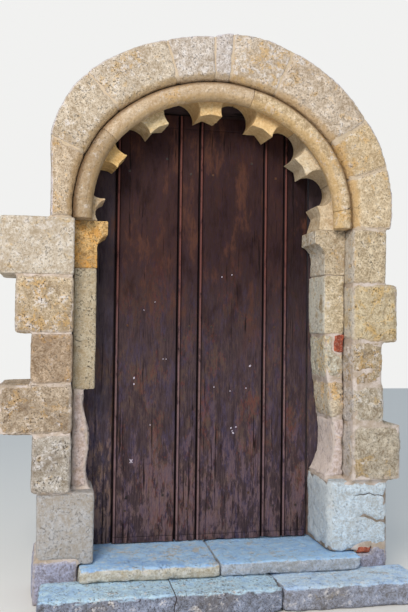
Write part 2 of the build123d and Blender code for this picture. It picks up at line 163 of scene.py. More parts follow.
def rgb(red, green, blue):  # a colour as seen on screen, made linear
    def linear(part):
        share = part / 255
        return share / 12.92 if share <= 0.04045 else ((share + 0.055) / 1.055) ** 2.4
    return tuple(linear(part) for part in (red, green, blue)) + (1.0,)


def tinted(colour, factors):
    return tuple(min(1.0, part * factor) for part, factor in zip(colour, factors)) + (1.0,)


# What all stones share: colours, tints that multiply a tone's red, green and blue, and noise clouds
stoneColours = {
    "mortar": rgb(202, 188, 178), "dark": rgb(96, 72, 48), "soot": rgb(112, 98, 88),
    "lichen": rgb(200, 136, 44), "chalk": rgb(226, 220, 218), "crack": rgb(60, 50, 46),
    "pit": rgb(74, 56, 40), "rim": rgb(208, 202, 210),
}
stoneTints = {
    "lift": (1.02, 1.055, 1.14),  # on every tone, as pits and dirt darken it
    "deep": (1.02, 0.88, 0.72), "light": (1.0, 1.0, 1.02), "dirt": (0.7, 0.58, 0.46),
    "rust": (1.08, 0.80, 0.38), "band": (0.86, 0.66, 0.38), "flank": (0.98, 0.8, 0.5),
    "nook": (0.34, 0.24, 0.15), "topDeep": (0.68, 0.76, 0.90), "topLight": (1.14, 1.1, 1.04),
    "topDirt": (0.70, 0.68, 0.66),
}
stoneClouds = {  # scale, detail, roughness and distortion
    "broad": (3.6, 5, 0.62, 0.5), "patch": (15, 9, 0.72, 0.5), "blotch": (26, 8, 0.75, 0.4),
    "grain": (85, 7, 0.78), "dust": (240, 4, 0.7), "pores": (104, 2, 0.5, 0.3), "lichen": (24, 7, 0.75),
}
stoneLimits = {  # where each mark begins, is full, and its share there
    "shade": (0.42, 0.58, 1.0), "dirt": (0.5, 0.64, 0.45), "trodden": (0.38, 0.56, 1.0),
    "topDirt": (0.54, 0.62, 0.3), "top": (0.35, 0.8, 0.9), "side": (-0.45, -0.8, 0.85),
    "litSidePatches": (0.38, 0.5, 1.0), "soot": (0.48, 0.66, 0.8), "sootGrain": (0.42, 0.6, 1.0),
    "flecks": (0.57, 0.68, 0.75), "holes": (0.57, 0.62, 1.0), "holePatches": (0.42, 0.6, 1.0),
    "pores": (0.60, 0.65, 1.0), "porePatches": (0.46, 0.55, 1.0), "clefts": (0.4, 0.6, 0.7),
    "mortar": (0.62, 1.0, 1.0), "band": (0.044, 0.014, 1.0), "front": (-0.15, -0.6, 1.0),
    "rim": (0.95, 1.15, 0.85), "flank": (-0.066, -0.086, 0.5), "nook": (-0.036, -0.008, 0.8),
    "crack": (0.0042, 0.0016, 0.9),
}
stoneSpread = {  # what spreads a mark, where it begins at 0, its fall, and its share
    "rust": ("ochre", 0.60, 0.16, 1.0), "chalk": ("pale", 0.60, 0.14, 0.6),
    "lichen": ("lichen", 0.66, 0.20, 0.85),
}
stoneFinish = {
    "patchEdge": 0.06, "blotchShift": 11, "deepen": 0.42, "lighten": 0.40, "mostPores": 0.75,
    "rough": 0.92, "gloss": 0.25, "relief": 0.009, "reliefCrisp": 0.006, "edgeRagged": 0.05,
    "crackRagged": 0.012,
}


def ringMarks(paint, colour, tone, patch, blotch):  # ochre band on the inner arris, partly stain and partly painted warm light, and mortar along the back
    edge = paint.stored("line") + (patch - 0.5) * stoneFinish["edgeRagged"]
    colour = paint.coat(colour, tinted(tone, stoneTints["band"]), edge, "band", 0.3 + blotch * 0.7)
    front = paint.mask(paint.facing("Y"), "front")
    return paint.coat(colour, stoneColours["rim"], paint.stored("rim") + patch * 0.5, "rim", front)


def nookMarks(paint, colour, tone):  # ochre on the roll's inner flank, partly stain and partly painted warm light; dark brown where it runs into the nook, partly dirt and partly painted shade
    line = paint.stored("line")
    for key in ("flank", "nook"):
        colour = paint.coat(colour, tinted(tone, stoneTints[key]), line, key)
    return colour


def crackMarks(paint, colour, grain):
    aside = paint.stored("aside") + (grain - 0.5) * stoneFinish["crackRagged"]
    off = paint.maths("ABSOLUTE", aside)
    return paint.coat(colour, stoneColours["crack"], off, "crack", paint.stored("fade"))


def skylitTopTone(paint, look, broad, patch, blotch):  # painted skylight: a paler, bluer tone on the top, trodden and dirty in patches
    top = tinted(rgb(*look["top"]), stoneTints["lift"])
    deep, light, dirt = (tinted(top, stoneTints[key]) for key in ("topDeep", "topLight", "topDirt"))
    trodden = paint.coat(deep, light, blotch * 0.6 + broad * 0.4, "trodden")
    return paint.coat(trodden, dirt, patch, "topDirt")


def stonePaint(name, look):
    limits = dict(stoneLimits)
    for mark, (key, start, fall, share) in stoneSpread.items():
        low = start - fall * look[key]
        limits[mark] = (low, low + stoneFinish["patchEdge"], share)
    paint = Paint(name, limits)
    shift = [look["seed"] * part for part in (1.7, 0.9, 2.3)]
    here = paint.place(shift)
    aside = paint.place([part + stoneFinish["blotchShift"] for part in shift])
    blotch = paint.cloud(aside, *stoneClouds["blotch"])
    broad, patch, grain, dust, pore = (
        paint.cloud(here, *stoneClouds[key]) for key in ("broad", "patch", "grain", "dust", "pores")
    )
    contrast, ochre, pits = (look[key] for key in ("contrast", "ochre", "pits"))
    tone = tinted(rgb(*look["tone"]), stoneTints["lift"])
    deep = [part * (1 - stoneFinish["deepen"] * contrast) for part in stoneTints["deep"]]
    light = [part * (1 + stoneFinish["lighten"] * contrast) for part in stoneTints["light"]]
    shade = grain * 0.34 + patch * 0.26 + blotch * 0.28 + dust * 0.12
    colour = paint.coat(tinted(tone, deep), tinted(tone, light), shade, "shade")
    dirt = broad * 0.6 + patch * 0.4
    colour = paint.coat(colour, tinted(tone, stoneTints["dirt"]), dirt, "dirt", contrast)
    if look["top"]:  # painted skylight: another, paler and bluer tone where the stone faces the sky
        colour = paint.coat(colour, skylitTopTone(paint, look, broad, patch, blotch), paint.facing("Z"), "top")
    if look["side"]:  # painted light: a paler tone, in patches, on the side that faces the way through, which the key light reaches less than the front
        litSidePatches = paint.mask(patch, "litSidePatches")
        colour = paint.coat(colour, rgb(*look["side"]), paint.facing("X"), "side", litSidePatches)
    rusty = patch * 0.65 + broad * 0.35
    colour = paint.coat(colour, tinted(tone, stoneTints["rust"]), rusty, "rust", 0.3 + 0.6 * ochre)
    chalky = blotch * 0.6 + broad * 0.2 + patch * 0.2
    colour = paint.coat(colour, stoneColours["chalk"], chalky, "chalk", contrast)
    sooty = paint.mask(grain, "sootGrain") * look["stain"]
    colour = paint.coat(colour, stoneColours["soot"], broad, "soot", sooty)
    colour = paint.coat(colour, stoneColours["chalk"], dust, "flecks", 0.3 + 0.5 * pits)
    # dark pits: partly dirt, partly painted shade in the hollows
    holes = paint.mask(grain, "holes") * paint.mask(patch, "holePatches") * pits
    colour = paint.mix(colour, stoneColours["dark"], holes)
    pores = paint.mask(pore, "pores") * paint.mask(blotch * 0.5 + patch * 0.5, "porePatches")
    colour = paint.mix(colour, stoneColours["pit"], pores * min(stoneFinish["mostPores"], pits * 0.7))
    # darker in the clefts of a rough stone: partly dirt, partly painted shade in them
    if look["crag"]:
        colour = paint.coat(colour, stoneColours["dark"], grain, "clefts", paint.stored("cleft"))
    if look["lichen"]:
        spots = paint.cloud(here, *stoneClouds["lichen"])
        colour = paint.coat(colour, stoneColours["lichen"], spots, "lichen")
    arrises = paint.stored("arris") + patch * 0.5
    colour = paint.coat(colour, stoneColours["mortar"], arrises, "mortar", look["mortar"])
    if look["ring"]:
        colour = ringMarks(paint, colour, tone, patch, blotch)
    if look["nook"]:
        colour = nookMarks(paint, colour, tone)
    if look["cracks"]:
        colour = crackMarks(paint, colour, grain)
    height = patch * 0.8 + blotch * 0.3 + grain * 0.55 + dust * 0.15 - holes * 0.9 - pores * 0.6
    relief = stoneFinish["reliefCrisp" if look["crisp"] else "relief"]
    return paint.finish(colour, stoneFinish["rough"], height, 1.0, relief, gloss=stoneFinish["gloss"])


# Per stone: tone on screen, shares of ochre, pale, pits, stain, lichen and mortar, how rough its form is,
# its contrast, other tones on the top (painted skylight) or the side (painted light), and cracks: from (x,
# z), to (x, z), depth and width
usualStone = {  # what a stone has where its own line says nothing else
    "pale": 0.4, "stain": 0.1, "lichen": 0, "mortar": 0.3, "rough": 0.6,
    "top": None, "side": None, "cracks": (),
}
stones = {
    "voussoir_1": dict(tone=(215, 193, 157), ochre=0.45, pits=0.5, mortar=0.5),
    "voussoir_2": dict(tone=(210, 186, 147), ochre=0.45, pits=0.5, rough=0.9),
    "voussoir_3": dict(tone=(202, 184, 160), ochre=0.5, pale=0.5, pits=0.5, stain=0.2, rough=0.8),
    "voussoir_4": dict(tone=(202, 186, 164), ochre=0.55, pale=0.6, pits=0.5, stain=0.15, rough=0.7),
    "voussoir_5": dict(tone=(200, 190, 180), ochre=0.1, pale=0.6, pits=0.5, stain=0.3, rough=0.4),
    "voussoir_6": dict(tone=(199, 187, 172), ochre=0.2, pale=0.6, pits=0.75, stain=0.3, rough=0.5),
    "voussoir_7": dict(tone=(197, 182, 159), ochre=0.4, pale=0.5, pits=0.6, stain=0.2),
    "voussoir_8": dict(tone=(197, 181, 156), ochre=0.35, pale=0.5, pits=0.6, stain=0.25),
    "voussoir_9": dict(tone=(195, 175, 147), ochre=0.5, pits=0.6, stain=0.15),
    "roll_1": dict(tone=(206, 182, 142), ochre=0.45, pits=0.6, lichen=0.15),
    "roll_2": dict(
        tone=(204, 180, 142), ochre=0.5, pale=0.5, pits=0.35,
        cracks=[((0.69, 2.125), (0.79, 2.18), 0.008, 0.006)],
    ),
    "roll_3": dict(tone=(192, 170, 140), ochre=0.35, pits=0.2, stain=0.05, rough=0.4, contrast=0.6),
    "roll_4": dict(tone=(168, 147, 118), ochre=0.3, pits=0.25, rough=0.4, lichen=0.15, contrast=0.6),
    "cusp_1": dict(tone=(212, 192, 158), ochre=0.25, pits=0.3, rough=0.3, contrast=0.7),
    "cusp_2": dict(tone=(216, 198, 164), ochre=0.1, pits=0.3, rough=0.3, contrast=0.6),
    "cusp_3": dict(
        tone=(224, 192, 138), ochre=0.2, pale=0.2, pits=0.1, stain=0.0, rough=0.2, contrast=0.4,
    ),
    "cusp_4": dict(
        tone=(224, 192, 138), ochre=0.2, pale=0.2, pits=0.1, stain=0.0, rough=0.2, contrast=0.4,
    ),
    "cusp_5": dict(tone=(216, 194, 150), ochre=0.15, pale=0.35, pits=0.3, rough=0.25, contrast=0.7),
    "cusp_6": dict(
        tone=(216, 180, 118), ochre=0.35, pale=0.1, pits=0.2, stain=0.05, rough=0.25, contrast=0.6,
    ),
    "cusp_7": dict(tone=(212, 188, 152), ochre=0.25, pale=0.3, pits=0.2, rough=0.3, contrast=0.7),
    "impost_left": dict(
        tone=(200, 162, 104), ochre=0.7, pale=0.2, pits=1.1, stain=0.5, rough=0.5, lichen=0.35,
        contrast=1.4,
    ),
    "impost_right": dict(
        tone=(192, 174, 144), ochre=0.45, pits=0.8, stain=0.35, rough=0.5, side=(218, 210, 196),
    ),
    "inner_jamb_left_1": dict(
        tone=(206, 188, 178), ochre=0.35, pits=0.15, rough=1.1, mortar=0.6, contrast=0.7,
    ),
    "inner_jamb_left_2": dict(
        tone=(186, 172, 144), ochre=0.1, pale=0.1, pits=1.1, rough=0.3, mortar=0.1, contrast=0.6,
    ),
    "inner_jamb_right_1": dict(
        tone=(222, 206, 198), ochre=0.3, pits=0.15, rough=0.8, mortar=0.5, side=(246, 228, 216),
        contrast=0.7,
    ),
    "inner_jamb_right_2": dict(
        tone=(216, 194, 164), ochre=0.65, pits=0.9, stain=0.25, rough=1.4, mortar=0.15,
        side=(224, 212, 190),
    ),
    "inner_jamb_right_3": dict(
        tone=(224, 211, 186), ochre=0.55, pits=0.9, stain=0.2, rough=1.3, mortar=0.12,
        side=(216, 212, 194),
    ),
    "inner_jamb_right_4": dict(
        tone=(210, 192, 158), ochre=0.4, pale=0.5, pits=0.6, stain=0.15, rough=0.4, side=(222, 220, 208),
    ),
    "outer_jamb_left_1": dict(
        tone=(190, 180, 164), ochre=0.35, pale=0.6, pits=1.0, stain=0.8, rough=0.8, contrast=1.3,
    ),
    "outer_jamb_left_2": dict(tone=(184, 164, 138), ochre=0.5, pits=0.9, stain=0.6, rough=1.0),
    "outer_jamb_left_3": dict(tone=(180, 156, 128), ochre=0.4, pale=0.2, pits=0.5, stain=0.5, rough=0.5),
    "outer_jamb_left_4": dict(tone=(202, 181, 148), ochre=0.5, pale=0.5, pits=1.0, stain=0.5, rough=0.8),
    "outer_jamb_left_5": dict(
        tone=(200, 188, 168), ochre=0.3, pale=0.5, pits=0.2, rough=0.3, mortar=0.2, contrast=0.8,
    ),
    "outer_jamb_right_1": dict(
        tone=(190, 176, 152), ochre=0.5, pale=0.35, pits=0.5, stain=0.3, rough=1.4, side=(206, 196, 190),
    ),
    "outer_jamb_right_2": dict(
        tone=(196, 183, 160), ochre=0.5, pale=0.6, pits=0.8, stain=0.2, rough=1.3, mortar=0.12,
        contrast=1.2, side=(206, 196, 190),
    ),
    "outer_jamb_right_3": dict(
        tone=(188, 168, 136), ochre=0.6, pale=0.6, pits=0.9, stain=0.3, rough=1.5, mortar=0.08,
        side=(210, 200, 192), cracks=[((0.79, 1.215), (0.925, 1.245), 0.022, 0.011)],
    ),
    "outer_jamb_right_4": dict(
        tone=(206, 188, 152), ochre=0.5, pale=0.15, pits=0.7, rough=1.0, mortar=0.2, contrast=0.95,
        side=(206, 198, 186),
    ),
    "outer_jamb_right_5": dict(
        tone=(204, 184, 150), ochre=0.4, pits=0.8, stain=0.15, side=(206, 198, 186),
    ),
    "plinth_left": dict(
        tone=(178, 174, 168), ochre=0.15, pale=0.3, pits=0.15, rough=0.5, mortar=0.1, contrast=0.45,
    ),
    "plinth_right": dict(
        tone=(200, 213, 224), ochre=0.05, pale=0.5, pits=0.1, rough=1.3, mortar=0.1, side=(214, 220, 222),
        contrast=0.6,
        cracks=[((0.84, 0.41), (1.02, 0.362), 0.014, 0.008), ((0.80, 0.53), (1.02, 0.52), 0.008, 0.006)],
    ),
    "base_stones": dict(tone=(168, 167, 183), ochre=0.05, pits=0.3, stain=0.3, rough=1.0),
    "lower_step_left": dict(
        tone=(138, 144, 158), ochre=0.0, pits=1.2, stain=0.6, rough=0.9, mortar=0.0, top=(196, 224, 255),
        contrast=1.5, cracks=[((-0.268, -0.06), (-0.270, 0.20), 0.008, 0.008)],
    ),
    "lower_step_right": dict(
        tone=(154, 158, 170), ochre=0.2, pale=0.5, pits=0.4, stain=0.3, rough=0.8, mortar=0.0,
        top=(204, 224, 250),
    ),
    "upper_step_left": dict(
        tone=(204, 198, 180), ochre=0.3, pale=0.6, pits=0.3, rough=0.8, mortar=0.0, top=(168, 206, 250),
        contrast=0.8,
    ),
    "upper_step_right": dict(
        tone=(176, 184, 192), ochre=0.15, pale=0.5, pits=0.2, stain=0.15, mortar=0.0, top=(168, 206, 250),
        contrast=0.7,
    ),
}

carved = ("cusp", "roll", "impost")  # families that keep a crisp form
weathering = {  # each form's values are a base and what a unit of rough adds
    "plain": {
        "Rounding": (4, 26), "Round": (0.35, 0.25), "Inset": (0.0012, 0), "Hollow": (0, 0.020),
        "Grain": (0.0033, 0.0077),
    },
    "carved": {
        "Rounding": (1, 0), "Round": (0.3, 0), "Inset": (0.0006, 0), "Hollow": (0, 0.012),
        "Grain": (0.0033, 0),
    },
    "voxel": {"plain": 0.0074, "carved": 0.0042}, "quickVoxel": 1.5,
    "chips": 1.4, "mostChips": 1.2, "pit": 0.05, "sway": 0.012, "crag": 0.014, "cragFrom": 0.7,
    "contrast": 1.1, "jambContrast": 1.3, "seedStep": 3.37,
}
weatherClouds = {
    "chips": {"Scale": 11.0, "Detail": 3.0},
    "coarse": {"Scale": 7.0, "Detail": 5.0, "Roughness": 0.6},
    "fine": {"Scale": 34.0, "Detail": 4.0, "Roughness": 0.65},
    "pits": {"Scale": 30.0, "Detail": 2.0},
    "crag": {"Scale": 4.2, "Detail": 4.0, "Distortion": 0.5},
    "sway": {"Scale": 2.6, "Detail": 1.0},
}
weatherLimits = {
    "chips": (0.5, 0.68), "cleft": (0.022, 0.0), "cleftArea": (0.46, 0.56), "rounding": 1.25,
    "arris": 0.012, "pits": 0.6, "coarse": 0.45, "fine": 0.5, "swayShare": (1.0, 0.3, 1.0),
}


def newGroup(name, inputs):  # a geometry node group with these inputs and one geometry output
    tree = bpy.data.node_groups.new(name, "GeometryNodeTree")
    for label, kind in inputs.items():
        tree.interface.new_socket(label, in_out="INPUT", socket_type="NodeSocket" + kind)
    tree.interface.new_socket("Geometry", in_out="OUTPUT", socket_type="NodeSocketGeometry")
    start = tree.nodes.new("NodeGroupInput")
    end = tree.nodes.new("NodeGroupOutput")
    return tree, start.outputs, end.inputs


def weatherTree():  # rounds arrises, chips them, sways, cleaves and pits a stone
    shares = ("Round", "Chips", "Inset", "Hollow", "Grain", "Pit", "Crag", "Sway")
    tree, given, result = newGroup("weatherStone", {
        "Geometry": "Geometry", "Rounding": "Int", **dict.fromkeys(shares, "Float"),
        "Shift": "Vector", "Material": "Material",
    })

    def work(kind, operation, sockets, out=0):
        return addNode(tree, kind, {"operation": operation}, sockets).outputs[out]

    def vector(operation, first, second):
        return work("ShaderNodeVectorMath", operation, {0: first, 1: second})

    def scaled(first, factor):
        return work("ShaderNodeVectorMath", "SCALE", {0: first, "Scale": factor})

    def maths(operation, first, second=0.0):
        return work("ShaderNodeMath", operation, {0: first, 1: second})

    def cloud(key, where, out=0):
        return addNode(tree, "ShaderNodeTexNoise", None, {"Vector": where, **weatherClouds[key]}).outputs[out]

    def mask(key, value, shape="LINEAR"):
        low, high = weatherLimits[key]
        sockets = {"Value": value, "From Min": low, "From Max": high}
        return addNode(tree, "ShaderNodeMapRange", {"interpolation_type": shape}, sockets).outputs[0]

    def store(name, geometry, value):
        settings = {"data_type": "FLOAT", "domain": "POINT"}
        sockets = {"Geometry": geometry, "Name": name, "Value": value}
        return addNode(tree, "GeometryNodeStoreNamedAttribute", settings, sockets).outputs[0]

    place = addNode(tree, "GeometryNodeInputPosition").outputs[0]
    moved = vector("ADD", place, given["Shift"])
    blur = addNode(tree, "GeometryNodeBlurAttribute", {"data_type": "FLOAT_VECTOR"}, {
        "Iterations": given["Rounding"],
    })
    tree.links.new(place, next(socket for socket in blur.inputs if socket.type == "VECTOR"))
    blurred = next(socket for socket in blur.outputs if socket.type == "VECTOR")
    away = vector("SUBTRACT", blurred, place)
    chipped = maths("MULTIPLY", mask("chips", cloud("chips", moved)), given["Chips"])
    share = maths("MINIMUM", maths("ADD", given["Round"], chipped), weatherLimits["rounding"])
    rounded = vector("ADD", place, scaled(away, share))
    gone = work("ShaderNodeVectorMath", "LENGTH", {0: away}, "Value")
    arris = maths("DIVIDE", gone, weatherLimits["arris"])

    coarse = cloud("coarse", moved)
    hollows = maths("MULTIPLY", maths("SUBTRACT", coarse, weatherLimits["coarse"]), given["Hollow"])
    fine = maths("SUBTRACT", cloud("fine", moved), weatherLimits["fine"])
    deep = maths("MAXIMUM", maths("SUBTRACT", cloud("pits", moved), weatherLimits["pits"]), 0.0)
    lift = maths("ADD", hollows, maths("MULTIPLY", fine, given["Grain"]))
    lift = maths("SUBTRACT", maths("SUBTRACT", lift, maths("MULTIPLY", deep, given["Pit"])), given["Inset"])
    nearCleft = mask("cleft", maths("ABSOLUTE", maths("SUBTRACT", cloud("crag", moved), 0.5)), "SMOOTHSTEP")
    cleft = maths("MULTIPLY", nearCleft, mask("cleftArea", coarse))
    lift = maths("SUBTRACT", lift, maths("MULTIPLY", cleft, given["Crag"]))
    normal = addNode(tree, "GeometryNodeInputNormal").outputs[0]
    pushed = vector("ADD", rounded, scaled(normal, lift))
    sway = vector("SUBTRACT", cloud("sway", place, 1), (0.5, 0.5, 0.5))
    sway = vector("MULTIPLY", sway, weatherLimits["swayShare"])
    final = vector("ADD", pushed, scaled(sway, given["Sway"]))

    marked = store("cleft", store("arris", given["Geometry"], arris), cleft)
    shaped = addNode(tree, "GeometryNodeSetPosition", None, {"Geometry": marked, "Position": final})
    dressed = addNode(tree, "GeometryNodeSetMaterial", None, {
        "Geometry": shaped.outputs[0], "Material": given["Material"],
    })
    tree.links.new(dressed.outputs[0], result["Geometry"])
    return tree


stoneTree = weatherTree()


def setInputs(modifier, values):  # geometry node inputs go in by the socket's identifier
    for socket in modifier.node_group.interface.items_tree:
        if socket.item_type == "SOCKET" and socket.in_out == "INPUT" and socket.name in values:
            modifier[socket.identifier] = values[socket.name]


def meshFrom(name, built):
    mesh = bpy.data.meshes.new(name)
    built.to_mesh(mesh)
    built.free()
    return mesh


def mergedCopy(name, nodes):  # one mesh from copies of CAD nodes, doubles merged
    joined = bmesh.new()
    for node in nodes:
        joined.from_mesh(cadNodes[node].data)
    bmesh.ops.remove_doubles(joined, verts=joined.verts, dist=1e-5)
    return addObject(name, meshFrom(name, joined))


def settle(made):  # turns what the modifiers show into a plain mesh
    view = bpy.context.evaluated_depsgraph_get()
    mesh = bpy.data.meshes.new_from_object(made.evaluated_get(view), depsgraph=view)
    old = made.data
    made.modifiers.clear()
    made.data = mesh
    mesh.name = made.name
    bpy.data.meshes.remove(old)
    return mesh


def remesh(made, voxel):
    modifier = made.modifiers.new("voxels", "REMESH")
    modifier.mode = "VOXEL"
    modifier.voxel_size = voxel * 1.0
    modifier.use_smooth_shade = True


def weather(made, values):
    modifier = made.modifiers.new("weather", "NODES")
    modifier.node_group = stoneTree
    setInputs(modifier, {"Sway": weathering["sway"], **values})
    return settle(made)


def readPlaces(mesh):
    places = np.empty(len(mesh.vertices) * 3)
    mesh.vertices.foreach_get("co", places)
    return places.reshape(-1, 3)


def storeMeasure(mesh, name, values):
    mesh.attributes.new(name, "FLOAT", "POINT").data.foreach_set("value", values.astype(np.float32))


archLine = {  # the outer ring's inner line: two side arcs and a crown arc
    "springing": 2.055, "halfSpan": 0.802, "sideX": 0.108, "sideRise": 0.070, "sideAngle": 48,
    "crownRise": -0.050, "degrees": 200, "rimReach": 0.05,  # how far round and how deep the rim goes
}


def storeArch(mesh):  # distance outwards from the arch line, and nearness to the ring's back
    places = readPlaces(mesh)
    across = np.abs(places[:, 0])
    up = places[:, 2] - archLine["springing"]
    sideX, sideRise, crownRise = (archLine[key] for key in ("sideX", "sideRise", "crownRise"))
    sideRadius = archLine["halfSpan"] - sideX
    crownRadius = sideRadius + sideX / math.cos(math.radians(archLine["sideAngle"]))
    turn = np.degrees(np.arctan2(up - sideRise, across - sideX))
    besides = np.hypot(across - sideX, up - sideRise) - sideRadius
    above = np.hypot(across, up - crownRise) - crownRadius
    curved = np.where(turn < archLine["sideAngle"], besides, above)
    storeMeasure(mesh, "line", np.where(up < sideRise, across - archLine["halfSpan"], curved))
    angle = np.degrees(np.arctan2(up, places[:, 0])).astype(int)
    angle = np.clip(angle, 0, archLine["degrees"] - 1)
    reach = np.hypot(across, up)
    furthest = np.zeros(archLine["degrees"])
    np.maximum.at(furthest, angle, reach)
    storeMeasure(mesh, "rim", np.clip(1 - (furthest[angle] - reach) / archLine["rimReach"], 0, 1))


crackLine = {"wander": 0.005, "waves": 9, "tremble": 0.003, "ripples": 23, "phase": 40, "ends": 6}


def carveCracks(mesh, cracks):  # sinks the face along each line from (x, z) to (x, z)
    places = readPlaces(mesh)
    nearest = np.full(len(places), 1.0)
    shown = np.zeros(len(places))
    for (startX, startZ), (endX, endZ), depth, width in cracks:
        runX, runZ = endX - startX, endZ - startZ
        length = math.hypot(runX, runZ)
        besideX, besideZ = places[:, 0] - startX, places[:, 2] - startZ
        share = (besideX * runX + besideZ * runZ) / length ** 2
        wander = crackLine["wander"] * np.sin(share * crackLine["waves"] + startX * crackLine["phase"])
        wander += crackLine["tremble"] * np.sin(share * crackLine["ripples"])
        aside = (besideZ * runX - besideX * runZ) / length + wander
        fade = np.clip(share * crackLine["ends"], 0, 1) * np.clip((1 - share) * crackLine["ends"], 0, 1)
        closer = np.abs(aside) < np.abs(nearest)
        nearest = np.where(closer, aside, nearest)
        shown = np.where(closer, fade, shown)
        places[:, 1] += depth * np.exp(-(aside / width) ** 2) * fade
    mesh.vertices.foreach_set("co", places.ravel())
    storeMeasure(mesh, "aside", nearest)
    storeMeasure(mesh, "fade", shown)


for number, (name, own) in enumerate(stones.items(), 1):
    look = {**usualStone, **own}
    form = "carved" if name.startswith(carved) else "plain"
    isJamb = "jamb" in name
    rough = look["rough"]
    look["seed"] = number * weathering["seedStep"]
    look["crisp"] = form == "carved"
    look["ring"] = name.startswith("voussoir")
    look["nook"] = name.startswith("roll")
    look["crag"] = weathering["crag"] * max(0.0, rough - weathering["cragFrom"]) if isJamb else 0.0
    look.setdefault("contrast", weathering["jambContrast" if isJamb else "contrast"])
    values = {key: base + more * rough for key, (base, more) in weathering[form].items()}
    values["Rounding"] = round(values["Rounding"])
    stone = mergedCopy("stone_" + name, [name])
    remesh(stone, weathering["voxel"][form])
    mesh = weather(stone, {
        **values, "Chips": weathering["chips"] * min(weathering["mostChips"], rough), "Crag": look["crag"],
        "Pit": weathering["pit"] * look["pits"], "Shift": (number * 1.3, number * 0.7, number * 2.1),
        "Material": stonePaint("stonePaint_" + name, look),
    })
    if look["ring"] or look["nook"]:
        storeArch(mesh)
    if look["cracks"]:
        carveCracks(mesh, look["cracks"])
    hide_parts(name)
    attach(stone, "frame")
print("stones:", len(stones))


# Mortar that fills the joints, one core for each group of stones that are bedded together
mortar = {
    "voxel": 0.012,
    "form": {
        "Rounding": 1, "Round": 0.3, "Inset": 0.008, "Hollow": 0.003, "Grain": 0.004,
        "Shift": (5.0, 2.0, 8.0),
    },
    "beds": {  # stones whose names begin with one of these share a core
        "mortar_outer": ("voussoir", "outer_jamb", "plinth", "base"),
        "mortar_inner": ("inner_jamb", "impost", "plinth", "brick"),
    },
    "patch": (12, 5, 0.65), "grain": (90, 4, 0.7),  # scale, detail and roughness
    "dark": rgb(180, 162, 144), "light": rgb(212, 198, 190), "upper": rgb(196, 176, 148),
    "grit": rgb(128, 110, 88),
    "limits": {"light": (0.4, 0.62, 1.0), "upper": (1.9, 2.2, 0.8), "grit": (0.55, 0.7, 0.6)},
}


def mortarPaint():
    paint = Paint("mortarPaint", mortar["limits"])
    here = paint.place()
    patch = paint.cloud(here, *mortar["patch"])
    grain = paint.cloud(here, *mortar["grain"])
    colour = mortar["dark"]
    for key, value in (("light", patch), ("upper", paint.height()), ("grit", grain)):
        colour = paint.coat(colour, mortar[key], value, key)
    return paint.finish(colour, 0.95, patch * 0.6 + grain * 0.5, 0.6, 0.005, gloss=0.2)


for bed, families in mortar["beds"].items():
    core = mergedCopy(bed, [name for name in cadNodes if name.startswith(families)])
    remesh(core, mortar["voxel"])
    weather(core, {**mortar["form"], "Material": mortarPaint()})
    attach(core, "frame")
    print(bed + ":", len(core.data.polygons), "faces")


# Bits of brick packed into the jamb
brick = {
    "voxel": 0.006,
    "form": {
        "Rounding": 8, "Round": 1.0, "Chips": 1.0, "Inset": 0.0065, "Hollow": 0.050, "Grain": 0.008,
        "Pit": 0.02, "Shift": (1.0, 4.0, 3.0),
    },
    "patch": (30, 5, 0.7), "grain": (140, 4, 0.7),
    "dark": rgb(128, 60, 44), "light": rgb(182, 96, 70), "lime": rgb(204, 182, 166),
    "limits": {"light": (0.4, 0.6, 1.0), "lime": (0.54, 0.64, 0.5)},
}


def brickPaint():
    paint = Paint("brickPaint", brick["limits"])
    here = paint.place()
    patch = paint.cloud(here, *brick["patch"])
    grain = paint.cloud(here, *brick["grain"])
    colour = paint.coat(brick["dark"], brick["light"], patch, "light")
    colour = paint.coat(colour, brick["lime"], grain, "lime")
    return paint.finish(colour, 0.9, patch * 0.7 + grain * 0.4, 0.6, 0.004, gloss=0.25)


bricks = mergedCopy("brick_bits", ["brick_packing"])
remesh(bricks, brick["voxel"])
weather(bricks, {**brick["form"], "Material": brickPaint()})
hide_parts("brick_packing")
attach(bricks, "frame")
print("bricks ready")


# Timber colours as seen on screen; deep is the darker tone high up, partly the paint's own and partly painted
# shadow from the arch, and only a board has a bead
timber = {
    "board": {
        "base": (71, 57, 59), "brown": (92, 74, 64), "cool": (72, 64, 88), "red": (114, 60, 52),
        # bead is the painted highlight along a bead's crest
        "worn": (126, 101, 99), "crack": (18, 10, 13), "bead": (144, 114, 114), "deep": (54, 31, 28),
    },
    "post": {
        "base": (80, 68, 73), "brown": (104, 84, 70), "cool": (82, 76, 98), "red": (108, 70, 60),
        "worn": (158, 128, 112), "crack": (22, 17, 20), "deep": (72, 60, 64),
    },
    "bare": {
        "base": (104, 80, 58), "brown": (120, 90, 62), "cool": (112, 100, 88), "red": (122, 84, 58),
        "worn": (150, 130, 106), "crack": (48, 36, 28),
    },
}
timberTints = {
    "dark": (0.62, 0.6, 0.62), "light": (1.4, 1.4, 1.4), "shadow": (0.52, 0.42, 0.72),
    "sooty": (0.42, 0.38, 0.40), "rusty": (0.98, 0.62, 0.50), "crest": (0.82, 0.50, 0.42),
}
timberStrokes = {  # scale across and along the grain, detail, roughness and offset
    "fibres": (150, 9, 5, 0.72, 0), "grain": (320, 26, 3, 0.7, 3), "blotch": (34, 11, 8, 0.74, 5),
    "other": (24, 7, 8, 0.74, 9), "broad": (8, 3.2, 6, 0.66, 13), "spots": (85, 34, 6, 0.75, 17),
    "shake": (60, 1.6, 4, 0.6, 21), "wide": (9, 3.0, 6, 0.66, 29),
}
